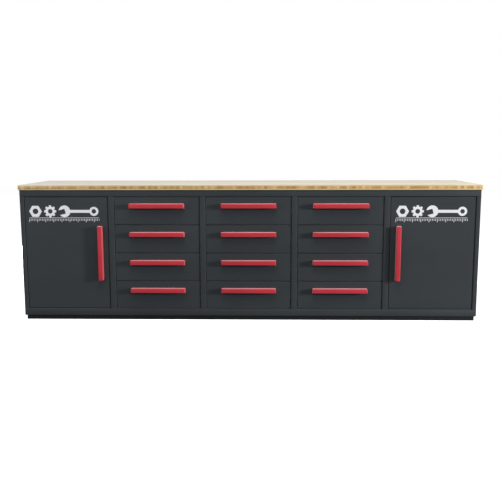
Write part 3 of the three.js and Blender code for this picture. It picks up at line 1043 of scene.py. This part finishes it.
def floor():
    """Large pale studio floor at z = 0, faintly lit from within like a light table."""
    white = (1, 1, 1, 1)
    m = Nodes("pale_floor", Roughness=0.9, Emission_Strength=FLOOR_GLOW, Emission_Color=white)
    tone = m.noise(m.place, 0.8, 2.0)
    m.set(Base_Color=m.ramp(tone, [(0.3, 0.88), (0.7, 0.92)]))
    bm = bmesh.new()
    bmesh.ops.create_grid(bm, x_segments=8, y_segments=8, size=FLOOR_SIZE)
    mesh = bpy.data.meshes.new("floor")
    bm.to_mesh(mesh)
    bm.free()
    mesh.materials.append(m.material)
    obj = bpy.data.objects.new("floor", mesh)
    obj.visible_diffuse = False
    obj.visible_glossy = False
    bpy.context.scene.collection.objects.link(obj)


def area_light(name, at, target, size, power):
    light = bpy.data.lights.new(name, "AREA")
    light.shape = "DISK"
    light.size = size
    light.energy = power
    obj = bpy.data.objects.new(name, light)
    obj.location = at
    aim = Vector(target) - Vector(at)
    obj.rotation_euler = aim.to_track_quat("-Z", "Y").to_euler()
    bpy.context.scene.collection.objects.link(obj)


def studio_world():
    """White backdrop. As light it is dim, brighter where it is mirrored, and dimmest from below."""
    world = bpy.data.worlds.new("studio")
    bpy.context.scene.world = world
    world.use_nodes = True
    tree = world.node_tree
    tree.nodes.clear()

    def add(kind):
        return tree.nodes.new(kind)

    def link(output, socket):
        tree.links.new(output, socket)

    path = add("ShaderNodeLightPath")
    split = add("ShaderNodeSeparateXYZ")
    link(add("ShaderNodeTexCoord").outputs["Generated"], split.inputs["Vector"])
    above = add("ShaderNodeMapRange")
    link(path.outputs["Is Glossy Ray"], above.inputs["Value"])
    above.inputs["To Min"].default_value = SKY_ABOVE
    above.inputs["To Max"].default_value = SKY_MIRRORED
    height = add("ShaderNodeMapRange")
    height.inputs["From Min"].default_value, height.inputs["From Max"].default_value = SKY_TURN
    height.inputs["To Min"].default_value = SKY_BELOW
    link(split.outputs["Z"], height.inputs["Value"])
    link(above.outputs["Result"], height.inputs["To Max"])
    lit = add("ShaderNodeBackground")
    lit.inputs["Color"].default_value = (0.97, 0.985, 1.0, 1)
    link(height.outputs["Result"], lit.inputs["Strength"])
    seen = add("ShaderNodeBackground")
    seen.inputs["Color"].default_value = (1, 1, 1, 1)
    mix = add("ShaderNodeMixShader")
    link(path.outputs["Is Camera Ray"], mix.inputs["Fac"])
    link(lit.outputs["Background"], mix.inputs[1])
    link(seen.outputs["Background"], mix.inputs[2])
    link(mix.outputs["Shader"], add("ShaderNodeOutputWorld").inputs["Surface"])


def lights():
    studio_world()
    for name, (at, target, size, power) in LIGHTS.items():
        area_light(name, at, target, size, power)


def camera():
    yaw, pitch = math.radians(CAMERA_YAW), math.radians(CAMERA_PITCH)
    level = Vector((math.sin(yaw), math.cos(yaw), 0)) * math.cos(pitch)
    ahead = level - Vector((0, 0, math.sin(pitch)))
    data = bpy.data.cameras.new("camera")
    data.lens = CAMERA_LENS
    data.sensor_width = CAMERA_FILM
    obj = bpy.data.objects.new("camera", data)
    turn = ahead.to_track_quat("-Z", "Y").to_matrix().to_4x4()
    roll = Matrix.Rotation(math.radians(CAMERA_ROLL), 4, "Z")
    obj.matrix_world = Matrix.Translation(CAMERA_AT) @ turn @ roll
    bpy.context.scene.collection.objects.link(obj)
    bpy.context.scene.camera = obj


# --------------------------------------------------------------- whole bench

def main():
    paint = make_materials()
    worktop(paint)
    rails(paint)
    plinth(paint)
    back_panel(paint)
    ledges(paint)
    for number in DIVIDERS:
        divider(paint, number)
    for name, side in SIDES.items():
        side_panel(paint, name, side)
        shelf(paint, name)
        catch(paint, name)
        door_panel(paint, name)
        door_rib(paint, name)
        for end in PIN_ENDS:
            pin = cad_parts[f"door_{name}_pin_{end}"]
            pin.material_slots[0].material = paint["dark"]
    meshes = {"grip": grip_mesh(), "screws": screw_mesh()}
    for column in COLUMNS:
        for name, side in SIDES.items():
            fixed_runners(paint, column, name, side)
        for row in ROWS:
            body = f"drawer_{column}_{row}"
            drawer_front(paint, body)
            drawer_tray(paint, body)
            sliders(paint, body)
            handle(paint, meshes, f"{body}_handle", body)
    for name, side in SIDES.items():
        handle(paint, meshes, f"door_{name}_handle", f"door_{name}", -90.0 * side)
        mark(paint, name)
    floor()
    lights()
    camera()


bpy.context.scene.view_settings.view_transform = "Standard"
main()
